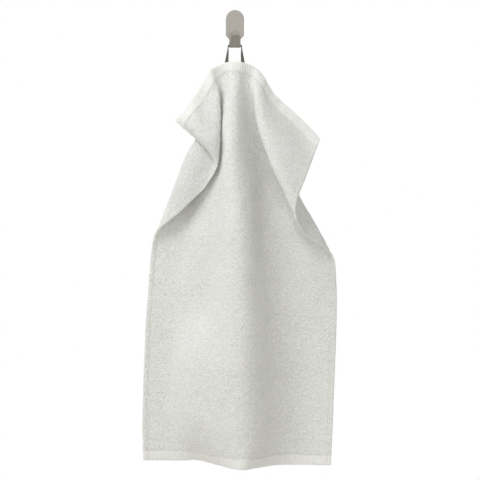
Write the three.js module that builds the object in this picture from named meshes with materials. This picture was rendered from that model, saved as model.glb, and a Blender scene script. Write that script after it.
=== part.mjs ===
// Hand towel hung by its tape loop on a small bent-steel wall hook.
// Millimetres, +X right, +Z up. The wall is the plane y = 0 and the room lies on the -Y side of it.
// "out" below is the distance from the wall, so a point lies at y = -out.
// The origin is the middle of the hook plate's back face.

import * as THREE from 'three';

// Towel: one piece of cotton terry, measured flat.
const TOWEL_WIDTH = 410;
const TOWEL_LENGTH = 700;
const TERRY_THICKNESS = 2.4;
const HEM_THICKNESS = 3.4;
const END_HEM_WIDTH = 18;
const SIDE_HEM_WIDTH = 8;
const WALL_CLEARANCE = 4;

// Hanging loop: one length of twill tape, its ends sewn behind the top hem.
const TAPE_WIDTH = 8;
const TAPE_THICKNESS = 1;

// Hook: a steel strip with a wide rounded plate, bent forward and up into a prong.
const STEEL_THICKNESS = 2;
const PLATE_WIDTH = 31.4;
const PLATE_TOP = 23.9;
const PLATE_SHOULDER = -19;
const NECK_WIDTH = 19.4;
const NECK_TOP = -28;
const BEND_RADIUS = 8;
const BEND_BOTTOM = -42.4;
const PRONG_TIP = -13.7;
const PRONG_TIP_WIDTH = 15.2;
const PRONG_LEAN = 10;

// Gap between pieces that touch.
const SEAT_GAP = 0.3;

const terry = new THREE.MeshStandardMaterial({ color: '#e9e8e3', roughness: 0.95, metalness: 0 });
const twill = new THREE.MeshStandardMaterial({ color: '#857a70', roughness: 0.9, metalness: 0 });
const steel = new THREE.MeshStandardMaterial({ color: '#afaca8', roughness: 0.35, metalness: 0.9 });

// Closed solid of a sheet: a grid of points in the middle of the sheet, with half a thickness for each.
function sheetSolid(middle, halfThickness) {
  const rows = middle.length;
  const columns = middle[0].length;
  const positions = [];
  const normals = middle.map((row, r) => row.map((point, c) => {
    const down = middle[Math.min(r + 1, rows - 1)][c].clone().sub(middle[Math.max(r - 1, 0)][c]);
    const across = row[Math.min(c + 1, columns - 1)].clone().sub(row[Math.max(c - 1, 0)]);
    return down.cross(across).normalize();
  }));
  for (const side of [1, -1]) {
    for (let r = 0; r < rows; r += 1) {
      for (let c = 0; c < columns; c += 1) {
        const offset = side * halfThickness(r, c);
        const point = middle[r][c].clone().addScaledVector(normals[r][c], offset);
        positions.push(point.x, point.y, point.z);
      }
    }
  }
  const back = rows * columns;
  const at = (r, c) => r * columns + c;
  const index = [];
  const quad = (a, b, c, d) => index.push(a, b, c, a, c, d);
  for (let r = 0; r < rows - 1; r += 1) {
    for (let c = 0; c < columns - 1; c += 1) {
      quad(at(r, c), at(r + 1, c), at(r + 1, c + 1), at(r, c + 1));
      quad(back + at(r, c), back + at(r, c + 1), back + at(r + 1, c + 1), back + at(r + 1, c));
    }
  }
  const last = { row: rows - 1, column: columns - 1 };
  for (let c = 0; c < last.column; c += 1) {
    quad(at(0, c), at(0, c + 1), back + at(0, c + 1), back + at(0, c));
    quad(at(last.row, c + 1), at(last.row, c), back + at(last.row, c), back + at(last.row, c + 1));
  }
  for (let r = 0; r < last.row; r += 1) {
    quad(at(r + 1, 0), at(r, 0), back + at(r, 0), back + at(r + 1, 0));
    quad(at(r, last.column), at(r + 1, last.column), back + at(r + 1, last.column), back + at(r, last.column));
  }
  const geometry = new THREE.BufferGeometry();
  geometry.setAttribute('position', new THREE.Float32BufferAttribute(positions, 3));
  geometry.setIndex(index);
  geometry.computeVertexNormals();
  return geometry;
}

// Lines of the cloth that show in the hang. Each row is one point of a line:
//   u, v      its place on the flat cloth, u from the left side hem and v down from the top hem
//   x, out, z its place in the air
// "hold" is how firmly the line keeps its place while the cloth settles between the lines.
const FOLD_LINES = {
  hemLeft: { hold: 0.6, rows: [
    [190, 0, -15, 18, -69],
    [176, 0, -24, 14, -72],
    [165, 0, -31, 15, -77],
    [150, 0, -40, 18, -79],
    [115, 0, -52, 26, -99],
    [66, 0, -71, 32, -129],
    [24, 0, -87, 34, -155],
    [0, 0, -103, 34, -169],
  ] },
  hemRight: { hold: 0.6, rows: [
    [220, 0, 14, 18, -69],
    [240, 0, 33, 10, -75],
    [256, 0, 46, 10, -87],
    [298, 0, 69, 12, -124],
    [326, 0, 92, 14, -145],
    [357, 0, 114, 17, -165],
    [392, 0, 138, 21, -191],
    [410, 0, 145, 24, -201],
  ] },
  sideLeft: { hold: 0.5, rows: [
    [0, 0, -103, 34, -169],
    [0, 40, -68, 41, -199],
    [0, 80, -38, 51, -228],
    [0, 98, -31, 56, -242],
    [0, 109, -33, 54, -253],
    [0, 128, -41, 48, -270],
    [0, 150, -52, 42, -288],
    [0, 186, -76, 36, -310],
    [0, 221, -96, 31, -329],
    [0, 258, -120, 26, -348],
    [0, 283, -132, 21, -358],
    [0, 308, -141, 15, -375],
    [0, 350, -146, 8, -412],
    [0, 462, -154, 8, -520],
    [0, 560, -158, 8, -618],
    [0, 640, -160, 8, -697],
    [0, 700, -158, 8, -753],
  ] },
  sideRight: { hold: 0.5, rows: [
    [410, 0, 145, 24, -201],
    [410, 98, 119, 72, -273],
    [410, 142, 104, 86, -307],
    [410, 157, 101, 87, -321],
    [410, 170, 102, 85, -334],
    [410, 190, 106, 80, -350],
    [410, 204, 111, 74, -360],
    [410, 220, 118, 67, -369],
    [410, 245, 131, 58, -376],
    [410, 273, 146, 48, -385],
    [410, 302, 160, 38, -396],
    [410, 334, 171, 28, -411],
    [410, 380, 175, 26, -459],
    [410, 445, 174, 28, -527],
    [410, 700, 163, 44, -754],
  ] },
  crest: { hold: 0.2, rows: [
    [205, 0, -1, 20, -68],
    [205, 30, 0, 34, -98],
    [205, 85, 3, 50, -155],
    [205, 190, 8, 72, -257],
    [205, 300, 12, 86, -365],
    [205, 450, 15, 92, -506],
    [205, 700, 14, 92, -753],
  ] },
  valley: { hold: 0.15, rows: [
    [230, 8, 27, 10, -78],
    [238, 30, 28, 10, -99],
    [252, 90, 33, 14, -154],
    [264, 150, 43, 18, -211],
    [275, 210, 49, 20, -268],
    [286, 300, 53, 20, -355],
    [295, 400, 60, 14, -450],
  ] },
  bottomHem: { hold: 0.2, rows: [
    [0, 700, -158, 8, -753],
    [35, 700, -125, 5, -753],
    [90, 700, -64, 8, -754],
    [150, 700, -26, 50, -754],
    [198, 700, 6, 90, -754],
    [210, 700, 14, 92, -753],
    [262, 700, 43, 52, -758],
    [312, 700, 74, 8, -763],
    [360, 700, 116, 20, -758],
    [410, 700, 163, 44, -755],
  ] },
  lapelFoldLeft: { hold: 0.25, rows: [
    [101, 133, -70, 12, -215],
    [68, 182, -89, 10, -257],
    [29, 240, -117, 11, -315],
    [0, 283, -132, 21, -358],
  ] },
  lapelFoldRight: { hold: 0.25, rows: [
    [334, 196, 105, 24, -288],
    [371, 259, 138, 24, -350],
    [410, 326, 170, 28, -408],
  ] },
  creaseLeft: { hold: 0.2, rows: [
    [186, 12, -20, 20, -80],
    [182, 30, -20, 18, -99],
    [172, 60, -19.5, 28, -128],
    [163, 90, -19, 35, -157],
    [156, 120, -19, 42, -185],
    [152, 150, -19, 47, -215],
    [150, 180, -20, 50, -245],
  ] },
  petalFoldLeft: { hold: 0.25, rows: [
    [155, 28, -21, 25, -104],
    [137, 42, -21.5, 33, -127],
    [92, 62, -22.5, 43, -171],
    [48, 78, -25, 54, -208],
    [0, 98, -31, 58, -242],
  ] },
  petalFoldRight: { hold: 0.25, rows: [
    [265, 39, 34, 36, -127],
    [311, 79, 44, 56, -189],
    [356, 118, 64, 74, -253],
    [410, 165, 101, 87, -327],
  ] },
  curlRight: { hold: 0.1, rows: [
    [262, 20, 40, 22, -107],
    [298, 20, 56, 21, -139],
    [326, 20, 78, 21, -162],
    [357, 20, 99, 22, -183],
    [392, 20, 123, 26, -208],
  ] },
  flankLeft: { hold: 0.1, rows: [
    [138, 150, -27, 31, -215],
    [134, 180, -31, 34, -245],
    [132, 210, -35, 38, -272],
    [128, 310, -36, 40, -368],
    [110, 450, -46, 28, -505],
  ] },
  panelLeft: { hold: 0.08, rows: [
    [80, 215, -72, 8, -268],
    [66, 265, -79, 8, -318],
    [52, 320, -92, 8, -374],
    [50, 400, -100, 8, -456],
    [50, 500, -104, 8, -556],
    [50, 700, -107, 8, -754],
  ] },
  valleyFoot: { hold: 0.05, rows: [
    [300, 430, 61, 12, -480],
    [307, 560, 70, 8, -615],
    [312, 700, 74, 8, -763],
  ] },
  panelRight: { hold: 0.06, rows: [
    [330, 260, 88, 28, -316],
    [348, 330, 108, 24, -388],
    [358, 430, 120, 20, -500],
    [360, 700, 116, 20, -758],
  ] },
  flapLeft: { hold: 0.12, rows: [
    [137, 21, -34, 25, -107],
    [100, 29, -43, 34, -138],
    [60, 40, -50, 45, -171],
    [30, 60, -46, 55, -203],
  ] },
  hiddenFold: { hold: 0.15, rows: [
    [168, 29, -30, 10, -103],
    [155, 51, -37, 14, -128],
    [136, 72, -46, 17, -157],
    [117, 94, -56, 17, -187],
    [100, 125, -66, 13, -218],
  ] },
};

// Settling of the cloth on a grid of square cells.
const CELL = 10;
const SETTLE_STEPS = 240;
const LEAD_STEPS = 200;
const SWEEPS = 4;
const PUCKER_GIVE = 0.03;
const BIAS_HOLD = 0.1;
const BENDING_HOLD = 0.15;
const FOLD_ROUNDNESS = [{ cells: 2, least: 1.6 }, { cells: 4, least: 2.6 }];
const ROUND_HOLD = 0.5;
const HELD_POINT_SPACING = 4;
const EDGE_SLACK = 0.5;
const FOLD_SLACK = 0.3;
const SEWN_NODES = [
  { node: 19, place: [-15, -18, -69] },
  { node: 22, place: [14, -18, -69] },
];

// The cloth starts flat, its lines are led to their places, and warp and weft keep their lengths.
function settledCloth() {
  const columns = Math.round(TOWEL_WIDTH / CELL) + 1;
  const rows = Math.round(TOWEL_LENGTH / CELL) + 1;
  const start = new Float64Array(rows * columns * 3);
  for (let r = 0; r < rows; r += 1) {
    for (let c = 0; c < columns; c += 1) {
      start.set([c * CELL - TOWEL_WIDTH / 2, -60, -69 - r * CELL], 3 * (r * columns + c));
    }
  }
  const cloth = start.slice();

  // Draws two nodes to their distance, by "hold" where they are too far apart and "give" where too near.
  const pull = (a, b, length, hold, give) => {
    const x = cloth[3 * b] - cloth[3 * a];
    const y = cloth[3 * b + 1] - cloth[3 * a + 1];
    const z = cloth[3 * b + 2] - cloth[3 * a + 2];
    const distance = Math.sqrt(x * x + y * y + z * z) + 1e-9;
    const stretch = (distance - length) / distance / 2;
    const share = stretch * (stretch < 0 ? give : hold);
    cloth[3 * a] += share * x;
    cloth[3 * a + 1] += share * y;
    cloth[3 * a + 2] += share * z;
    cloth[3 * b] -= share * x;
    cloth[3 * b + 1] -= share * y;
    cloth[3 * b + 2] -= share * z;
  };

  const sweepPairs = (firstRow, firstColumn, rowStep, columnStep, visit) => {
    for (let r = firstRow; r < rows; r += rowStep) {
      for (let c = firstColumn; c < columns; c += columnStep) visit(r, c, r * columns + c);
    }
  };

  const keepLengths = () => {
    for (const odd of [0, 1]) {
      sweepPairs(0, odd, 1, 2, (r, c, i) => c + 1 < columns && pull(i, i + 1, CELL, 1, PUCKER_GIVE));
      sweepPairs(odd, 0, 2, 1, (r, c, i) => r + 1 < rows && pull(i, i + columns, CELL, 1, PUCKER_GIVE));
    }
    const bias = CELL * Math.SQRT2;
    for (const oddRow of [0, 1]) {
      for (const oddColumn of [0, 1]) {
        const inside = (r, c) => r + 1 < rows && c + 1 < columns;
        sweepPairs(oddRow, oddColumn, 2, 2, (r, c, i) => {
          if (inside(r, c)) pull(i, i + columns + 1, bias, BIAS_HOLD, BIAS_HOLD);
        });
        sweepPairs(oddRow, oddColumn, 2, 2, (r, c, i) => {
          if (inside(r, c)) pull(i + 1, i + columns, bias, BIAS_HOLD, BIAS_HOLD);
        });
      }
    }
  };

  // A fold can't close tighter than the pile lets it, so nodes a few cells apart keep a least distance.
  const keepFoldsRound = () => {
    for (const { cells, least } of FOLD_ROUNDNESS) {
      for (let first = 0; first < cells; first += 1) {
        for (const other of [0, cells]) {
          sweepPairs(0, first + other, 1, 2 * cells, (r, c, i) => (
            c + cells < columns && pull(i, i + cells, least * CELL, 0, ROUND_HOLD)
          ));
          sweepPairs(first + other, 0, 2 * cells, 1, (r, c, i) => (
            r + cells < rows && pull(i, i + cells * columns, least * CELL, 0, ROUND_HOLD)
          ));
        }
      }
    }
  };

  // Evens out the bending along one thread direction: "step" is the distance to the next node on it.
  const evenBending = (threads, nodes, threadStep, step) => {
    for (let t = 0; t < threads; t += 1) {
      for (let axis = 0; axis < 3; axis += 1) {
        const at = (n) => 3 * (t * threadStep + n * step) + axis;
        const bend = new Float64Array(nodes);
        for (let n = 1; n < nodes - 1; n += 1) {
          bend[n] = (cloth[at(n - 1)] + cloth[at(n + 1)]) / 2 - cloth[at(n)];
        }
        for (let n = 0; n < nodes; n += 1) {
          const beside = ((bend[n - 1] ?? 0) + (bend[n + 1] ?? 0)) / 2;
          cloth[at(n)] -= BENDING_HOLD * (beside - bend[n]);
        }
      }
    }
  };

  // A held line is a row of points on it, each between four nodes of the grid and shared out among them.
  const heldLines = Object.values(FOLD_LINES).map(({ hold, rows: line }) => {
    const points = [];
    const share = new Float64Array(rows * columns);
    const addPoint = ([u, v, x, out, z]) => {
      const column = Math.min(Math.floor(u / CELL), columns - 2);
      const row = Math.min(Math.floor(v / CELL), rows - 2);
      const across = u / CELL - column;
      const down = v / CELL - row;
      const corner = row * columns + column;
      const nodes = [corner, corner + 1, corner + columns, corner + columns + 1];
      const weights = [(1 - down) * (1 - across), (1 - down) * across, down * (1 - across), down * across];
      nodes.forEach((node, n) => { share[node] += weights[n]; });
      const flat = [0, 1, 2].map((axis) => (
        nodes.reduce((sum, node, n) => sum + weights[n] * start[3 * node + axis], 0)
      ));
      points.push({ nodes, weights, flat, place: [x, -out, z] });
    };
    for (let k = 0; k + 1 < line.length; k += 1) {
      const [from, to] = [line[k], line[k + 1]];
      const pieces = Math.ceil(Math.hypot(to[0] - from[0], to[1] - from[1]) / HELD_POINT_SPACING);
      for (let n = 0; n < pieces; n += 1) {
        addPoint(from.map((value, i) => value + ((to[i] - value) * n) / pieces));
      }
    }
    addPoint(line[line.length - 1]);
    return { hold, points, share };
  });

  const holdLine = ({ points, share }, hold, led) => {
    const shift = new Float64Array(cloth.length);
    for (const { nodes, weights, flat, place } of points) {
      for (let axis = 0; axis < 3; axis += 1) {
        let miss = flat[axis] * (1 - led) + place[axis] * led;
        for (let n = 0; n < 4; n += 1) miss -= weights[n] * cloth[3 * nodes[n] + axis];
        for (let n = 0; n < 4; n += 1) shift[3 * nodes[n] + axis] += weights[n] * miss;
      }
    }
    share.forEach((sum, node) => {
      if (sum <= 0.2) return;
      for (let axis = 0; axis < 3; axis += 1) cloth[3 * node + axis] += (hold * shift[3 * node + axis]) / sum;
    });
  };

  for (let step = 1; step <= SETTLE_STEPS; step += 1) {
    const way = Math.min(1, step / LEAD_STEPS);
    const led = way * way * (3 - 2 * way);
    for (let sweep = 0; sweep < SWEEPS; sweep += 1) {
      keepLengths();
      keepFoldsRound();
      evenBending(columns, rows, 1, columns);
      evenBending(rows, columns, columns, 1);
      for (const line of heldLines) {
        const slack = line.hold >= 0.5 ? EDGE_SLACK : FOLD_SLACK;
        holdLine(line, step > LEAD_STEPS ? line.hold * slack : line.hold, led);
      }
      for (const { node, place } of SEWN_NODES) {
        for (let axis = 0; axis < 3; axis += 1) {
          cloth[3 * node + axis] = start[3 * node + axis] * (1 - led) + place[axis] * led;
        }
      }
      for (let i = 1; i < cloth.length; i += 3) cloth[i] = Math.min(cloth[i], -WALL_CLEARANCE);
    }
  }
  return { cloth, columns, rows };
}

// Smooth surface through the settled nodes, at any place (u, v) of the flat cloth.
function clothSurface({ cloth, columns, rows }) {
  const weights = (t) => [
    (-t + 2 * t * t - t * t * t) / 2,
    (2 - 5 * t * t + 3 * t * t * t) / 2,
    (t + 4 * t * t - 3 * t * t * t) / 2,
    (-t * t + t * t * t) / 2,
  ];
  const node = (r, c, axis) => {
    if (r < 0) return 2 * node(0, c, axis) - node(1, c, axis);
    if (r >= rows) return 2 * node(rows - 1, c, axis) - node(rows - 2, c, axis);
    if (c < 0) return 2 * node(r, 0, axis) - node(r, 1, axis);
    if (c >= columns) return 2 * node(r, columns - 1, axis) - node(r, columns - 2, axis);
    return cloth[3 * (r * columns + c) + axis];
  };
  return (u, v) => {
    const c = Math.min(Math.floor(u / CELL), columns - 2);
    const r = Math.min(Math.floor(v / CELL), rows - 2);
    const across = weights(u / CELL - c);
    const down = weights(v / CELL - r);
    const place = [0, 1, 2].map((axis) => {
      let sum = 0;
      for (let j = 0; j < 4; j += 1) {
        for (let i = 0; i < 4; i += 1) sum += down[j] * across[i] * node(r - 1 + j, c - 1 + i, axis);
      }
      return sum;
    });
    return new THREE.Vector3(...place);
  };
}

// Evenly spaced stations between two hems, with a line at each stitched hem edge.
function stations(length, hem, spacing) {
  const cells = Math.round((length - 2 * hem) / spacing);
  const inner = Array.from({ length: cells + 1 }, (_, i) => hem + ((length - 2 * hem) * i) / cells);
  return [0, ...inner, length];
}

const STATION_SPACING = 10.3;

function towel() {
  const surface = clothSurface(settledCloth());
  const across = stations(TOWEL_WIDTH, SIDE_HEM_WIDTH, STATION_SPACING);
  const down = stations(TOWEL_LENGTH, END_HEM_WIDTH, STATION_SPACING);
  const middle = down.map((v) => across.map((u) => surface(u, v)));
  const inHem = (r, c) => r === 0 || c === 0 || r === down.length - 1 || c === across.length - 1;
  return sheetSolid(middle, (r, c) => (inHem(r, c) ? HEM_THICKNESS : TERRY_THICKNESS) / 2);
}

// Hanging loop. Each row is one point of the tape's middle line, from the left end to the right one:
//   x, out, z its place
//   turn      0 where the tape's width runs out from the wall, 90 where it runs along the wall
//   cup       1 where the tape lies in the round of the hook's bend, 0 where it is flat
const LOOP_ROWS = [
  [-14.6, 13.4, -84, 52, 0],
  [-14.3, 13.8, -70, 52, 0],
  [-13.4, 13, -61, 36, 0],
  [-12.5, 11.4, -52, 23, 0],
  [-11.7, 9.8, -45.5, 10, 0.3],
  [-11.2, 9.2, -42.2, 0, 0.8],
  [-10.4, 9, -40.0, 0, 1],
  [-8.6, 9, -39.4, 0, 1],
  [-4, 9, -39.4, 0, 1],
  [4, 9, -39.4, 0, 1],
  [8.6, 9, -39.4, 0, 1],
  [10.4, 9, -40.0, 0, 1],
  [11.2, 9.2, -42.2, 0, 0.8],
  [11.4, 9.8, -45.5, -10, 0.3],
  [11.9, 11, -52, -23, 0],
  [12.9, 11.8, -61, -36, 0],
  [13.6, 11.6, -70, -55, 0],
  [14.2, 12.4, -84, -84, 0],
];
const LOOP_POINTS = 48;

function hangingLoop() {
  const path = new THREE.CatmullRomCurve3(LOOP_ROWS.map(([x, out, z]) => new THREE.Vector3(x, -out, z)));
  const form = new THREE.CatmullRomCurve3(LOOP_ROWS.map(([, , , turn, cup]) => new THREE.Vector3(turn, cup, 0)));
  const cupRadius = BEND_RADIUS - STEEL_THICKNESS / 2 - SEAT_GAP - TAPE_THICKNESS / 2;
  const middle = [];
  for (let i = 0; i <= LOOP_POINTS; i += 1) {
    const t = i / LOOP_POINTS;
    const centre = path.getPoint(t);
    const along = path.getTangent(t);
    const { x: turn, y: cup } = form.getPoint(t);
    const outward = new THREE.Vector3(0, -1, 0).addScaledVector(along, along.y).normalize();
    const width = outward.applyAxisAngle(along, THREE.MathUtils.degToRad(turn));
    const up = width.clone().cross(along);
    middle.push([-1, -0.5, 0, 0.5, 1].map((side) => {
      const reach = (side * TAPE_WIDTH) / 2;
      const rise = cupRadius - Math.sqrt(cupRadius * cupRadius - reach * reach);
      return centre.clone().addScaledVector(width, reach).addScaledVector(up, cup * rise);
    }));
  }
  return sheetSolid(middle, () => TAPE_THICKNESS / 2);
}

// Hook. The strip is followed from the top of the plate, down the neck, round the bend and up the prong.
function hookStations() {
  const round = PLATE_WIDTH / 2;
  const mid = STEEL_THICKNESS / 2;
  const rows = [];
  for (let angle = 6; angle <= 90; angle += 12) {
    const a = THREE.MathUtils.degToRad(angle);
    rows.push({ out: mid, z: PLATE_TOP - round * (1 - Math.cos(a)), width: 2 * round * Math.sin(a) });
  }
  rows.push({ out: mid, z: PLATE_SHOULDER, width: PLATE_WIDTH });
  for (let i = 1; i <= 6; i += 1) {
    const ease = (1 - Math.cos((Math.PI * i) / 6)) / 2;
    const z = PLATE_SHOULDER + ((NECK_TOP - PLATE_SHOULDER) * i) / 6;
    rows.push({ out: mid, z, width: PLATE_WIDTH + (NECK_WIDTH - PLATE_WIDTH) * ease });
  }
  const bendCentre = BEND_BOTTOM + mid + BEND_RADIUS;
  const bendSteps = 12;
  const bendTurn = 180 - PRONG_LEAN;
  for (let i = 0; i <= bendSteps; i += 1) {
    const a = THREE.MathUtils.degToRad((bendTurn * i) / bendSteps);
    const z = bendCentre - BEND_RADIUS * Math.sin(a);
    rows.push({ out: mid + BEND_RADIUS * (1 - Math.cos(a)), z, width: NECK_WIDTH });
  }
  const prongStart = rows[rows.length - 1];
  const tipRound = PRONG_TIP_WIDTH / 2;
  const addProngRow = (z, width) => {
    const out = prongStart.out + (z - prongStart.z) * Math.tan(THREE.MathUtils.degToRad(PRONG_LEAN));
    rows.push({ out, z, width });
  };
  addProngRow(PRONG_TIP - tipRound, PRONG_TIP_WIDTH);
  for (let angle = 75; angle >= 6; angle -= 12) {
    const a = THREE.MathUtils.degToRad(angle);
    addProngRow(PRONG_TIP - tipRound * (1 - Math.cos(a)), 2 * tipRound * Math.sin(a));
  }
  return rows;
}

function hook() {
  const middle = hookStations().map(({ out, z, width }) => (
    [-0.5, -0.3, 0, 0.3, 0.5].map((side) => new THREE.Vector3(side * width, -out, z))
  ));
  return sheetSolid(middle, () => STEEL_THICKNESS / 2);
}

const group = new THREE.Group();
const pieces = [
  ['towel', towel(), terry],
  ['hanging_loop', hangingLoop(), twill],
  ['hook', hook(), steel],
];
for (const [name, geometry, material] of pieces) {
  const mesh = new THREE.Mesh(geometry, material);
  mesh.name = name;
  group.add(mesh);
}

export default group;
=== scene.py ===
import math

import bmesh
import bpy
import numpy as np
from mathutils import Matrix, Vector


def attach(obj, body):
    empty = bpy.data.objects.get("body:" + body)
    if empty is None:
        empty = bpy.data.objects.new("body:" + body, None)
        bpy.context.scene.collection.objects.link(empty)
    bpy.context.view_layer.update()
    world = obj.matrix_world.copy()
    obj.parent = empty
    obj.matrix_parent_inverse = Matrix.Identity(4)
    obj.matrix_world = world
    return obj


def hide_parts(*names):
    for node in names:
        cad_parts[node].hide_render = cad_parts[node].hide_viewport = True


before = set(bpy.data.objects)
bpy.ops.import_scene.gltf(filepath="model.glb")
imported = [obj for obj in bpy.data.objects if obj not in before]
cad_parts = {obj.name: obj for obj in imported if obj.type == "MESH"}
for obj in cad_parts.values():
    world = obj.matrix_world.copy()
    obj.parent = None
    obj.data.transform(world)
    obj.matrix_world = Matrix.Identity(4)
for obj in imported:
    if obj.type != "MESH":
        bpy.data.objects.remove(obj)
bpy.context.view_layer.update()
MM = 0.001


# View. The hanging towel is seen straight on from two metres away, from the height of the
# middle of the cloth. The picture is 0.83 m wide where the hook is fixed.
VIEW_DISTANCE = 2.0
VIEW_WIDTH = 0.8304
SENSOR = 36.0
camera = bpy.data.objects.new("camera", bpy.data.cameras.new("camera"))
camera.data.sensor_width = SENSOR
camera.data.lens = SENSOR * VIEW_DISTANCE / VIEW_WIDTH
camera.location = (0.0088, -VIEW_DISTANCE, -0.3737)
camera.rotation_euler = (math.radians(90), 0, 0)
bpy.context.scene.collection.objects.link(camera)
bpy.context.scene.camera = camera


# Wall hook. One strip of stainless steel, stamped out as a flat blank with a wide round
# plate and a narrow tongue, its rim rounded in the press, then bent forward and up into a
# prong and given a satin finish.
STEEL = 2.0 * MM
PLATE_HALF_WIDTH = 15.7 * MM
PLATE_TOP = 23.9 * MM
PLATE_SHOULDER = -19.0 * MM
NECK_TOP = -28.0 * MM
NECK_HALF_WIDTH = 9.7 * MM
BEND_RADIUS = 8.0 * MM
BEND_HEIGHT = -33.4 * MM
PRONG_TIP = -13.7 * MM
PRONG_HALF_WIDTH = 7.6 * MM
PRONG_LEAN = math.radians(10)
RIM_WIDTH = 2.6 * MM
RIM_ROUND = 0.7 * MM

bend_turn = math.pi - PRONG_LEAN
plate_end = PLATE_TOP - BEND_HEIGHT
bend_end = plate_end + bend_turn * BEND_RADIUS
prong_start = BEND_HEIGHT - BEND_RADIUS * math.sin(PRONG_LEAN)
tip_end = bend_end + (PRONG_TIP - prong_start) / math.cos(PRONG_LEAN)


def blank_half_width(run):
    """Half the width of the flat blank at a distance from the top of the plate."""
    shoulder, neck = PLATE_TOP - PLATE_SHOULDER, PLATE_TOP - NECK_TOP
    if run < PLATE_HALF_WIDTH:
        return math.sqrt(PLATE_HALF_WIDTH**2 - (PLATE_HALF_WIDTH - run) ** 2)
    if run < shoulder:
        return PLATE_HALF_WIDTH
    if run < neck:
        ease = (1 - math.cos(math.pi * (run - shoulder) / (neck - shoulder))) / 2
        return PLATE_HALF_WIDTH + (NECK_HALF_WIDTH - PLATE_HALF_WIDTH) * ease
    if run < bend_end:
        return NECK_HALF_WIDTH
    round_start = tip_end - PRONG_HALF_WIDTH
    if run < round_start:
        share = (run - bend_end) / (round_start - bend_end)
        return NECK_HALF_WIDTH + (PRONG_HALF_WIDTH - NECK_HALF_WIDTH) * share
    return math.sqrt(max(PRONG_HALF_WIDTH**2 - (run - round_start) ** 2, 0))


def bent(point):
    """Place on the bent hook of a point of the blank, which stands up behind the wall plane."""
    run, depth = PLATE_TOP - point.z, -point.y - STEEL / 2
    if run < plate_end:
        return Vector((point.x, -STEEL / 2 - depth, point.z))
    turn = min((run - plate_end) / BEND_RADIUS, bend_turn)
    past = max(run - bend_end, 0)
    reach = BEND_RADIUS - depth
    out = STEEL / 2 + BEND_RADIUS - reach * math.cos(turn) + past * math.sin(turn)
    return Vector((point.x, -out, BEND_HEIGHT - reach * math.sin(turn) - past * math.cos(turn)))


blank = bmesh.new()
# Distances down the blank at which its outline gets a point: the crown of the plate, the
# shoulders, the ends of the tongue's taper and its round tip.
runs = [PLATE_HALF_WIDTH * (1 - math.cos(math.radians(a))) for a in range(10, 90, 8)]
runs += [PLATE_HALF_WIDTH, PLATE_TOP - PLATE_SHOULDER]
runs += [PLATE_TOP - PLATE_SHOULDER + (PLATE_SHOULDER - NECK_TOP) * i / 8 for i in range(1, 9)]
runs += [bend_end, tip_end - PRONG_HALF_WIDTH]
runs += [tip_end - PRONG_HALF_WIDTH * (1 - math.sin(math.radians(a))) for a in range(10, 86, 9)]
right = [(blank_half_width(run), PLATE_TOP - run) for run in runs]
left = [(-x, z) for x, z in reversed(right)]
rim_points = [*right, (0, PLATE_TOP - tip_end), *left, (0, PLATE_TOP)]
blank.faces.new([blank.verts.new((x, 0, z)) for x, z in rim_points])
bmesh.ops.inset_region(blank, faces=blank.faces[:], thickness=RIM_WIDTH, use_even_offset=True)
BEND_FACETS = 22
for i in range(BEND_FACETS + 1):
    cut = plate_end + (bend_end - plate_end) * i / BEND_FACETS
    bmesh.ops.bisect_plane(
        blank, geom=blank.verts[:] + blank.edges[:] + blank.faces[:],
        plane_co=(0, 0, PLATE_TOP - cut), plane_no=(0, 0, 1),
    )
front = bmesh.ops.extrude_face_region(blank, geom=blank.faces[:])
moved = [v for v in front["geom"] if isinstance(v, bmesh.types.BMVert)]
bmesh.ops.translate(blank, verts=moved, vec=(0, -STEEL, 0))
bmesh.ops.recalc_face_normals(blank, faces=blank.faces[:])
SHARP = math.radians(60)
rim = [e for e in blank.edges if len(e.link_faces) == 2 and e.calc_face_angle(0) > SHARP]
bmesh.ops.bevel(
    blank, geom=rim, offset=RIM_ROUND, segments=3, profile=0.5, affect="EDGES", material=-1,
    clamp_overlap=True,
)
for vert in blank.verts:
    vert.co = bent(vert.co)
bmesh.ops.recalc_face_normals(blank, faces=blank.faces[:])
for face in blank.faces:
    face.smooth = True
hook = bpy.data.objects.new("steel_hook", bpy.data.meshes.new("steel_hook"))
blank.to_mesh(hook.data)
blank.free()
bpy.context.scene.collection.objects.link(hook)
hook.modifiers.new("even_shading", "WEIGHTED_NORMAL").weight = 80


def linear_colour(code):
    """A colour written as sRGB hex, in linear values."""
    parts = [int(code[i:i + 2], 16) / 255 for i in (1, 3, 5)]
    return [p / 12.92 if p <= 0.04045 else ((p + 0.055) / 1.055) ** 2.4 for p in parts] + [1.0]


def add_node(tree, kind, links=(), **settings):
    """Adds a node: settings name its properties or, in quotes of a dictionary, its inputs."""
    node = tree.nodes.new(kind)
    for name, value in settings.pop("inputs", {}).items():
        node.inputs[name].default_value = value
    for name, value in settings.items():
        setattr(node, name, value)
    for name, source in dict(links).items():
        tree.links.new(source, node.inputs[name])
    return node


def new_finish(name):
    """An empty material with its surface shader and its node tree."""
    finish = bpy.data.materials.new(name)
    finish.use_nodes = True
    tree = finish.node_tree
    return finish, tree, tree.nodes["Principled BSDF"]


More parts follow.
